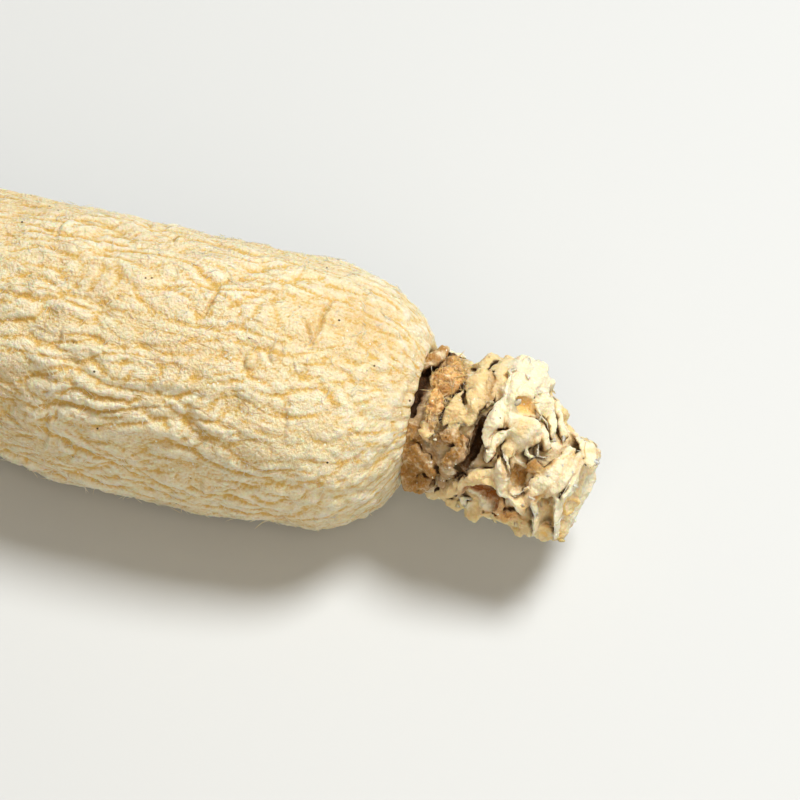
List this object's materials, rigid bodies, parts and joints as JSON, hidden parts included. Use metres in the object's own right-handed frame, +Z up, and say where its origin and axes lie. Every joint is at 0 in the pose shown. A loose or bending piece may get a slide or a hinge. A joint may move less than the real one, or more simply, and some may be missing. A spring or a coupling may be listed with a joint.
{
  "type": "ginseng root",
  "caption": "Dried ginseng root lying on its side: a pale wrinkled spindle with a knobbly, folded crown at one end and a trimmed, forked tail at the other.",
  "frame": {"origin": "on the small flat the root rests on, under the root's weight", "axes": "+X along the root towards the crown, +Z up, -Z out of the resting flat"},
  "size_m": [0.0941, 0.0243, 0.023],
  "materials": {
    "dried_skin": "matte"
  },
  "bodies": {
    "root": {"ginseng_root": "dried_skin"}
  },
  "joints": []
}
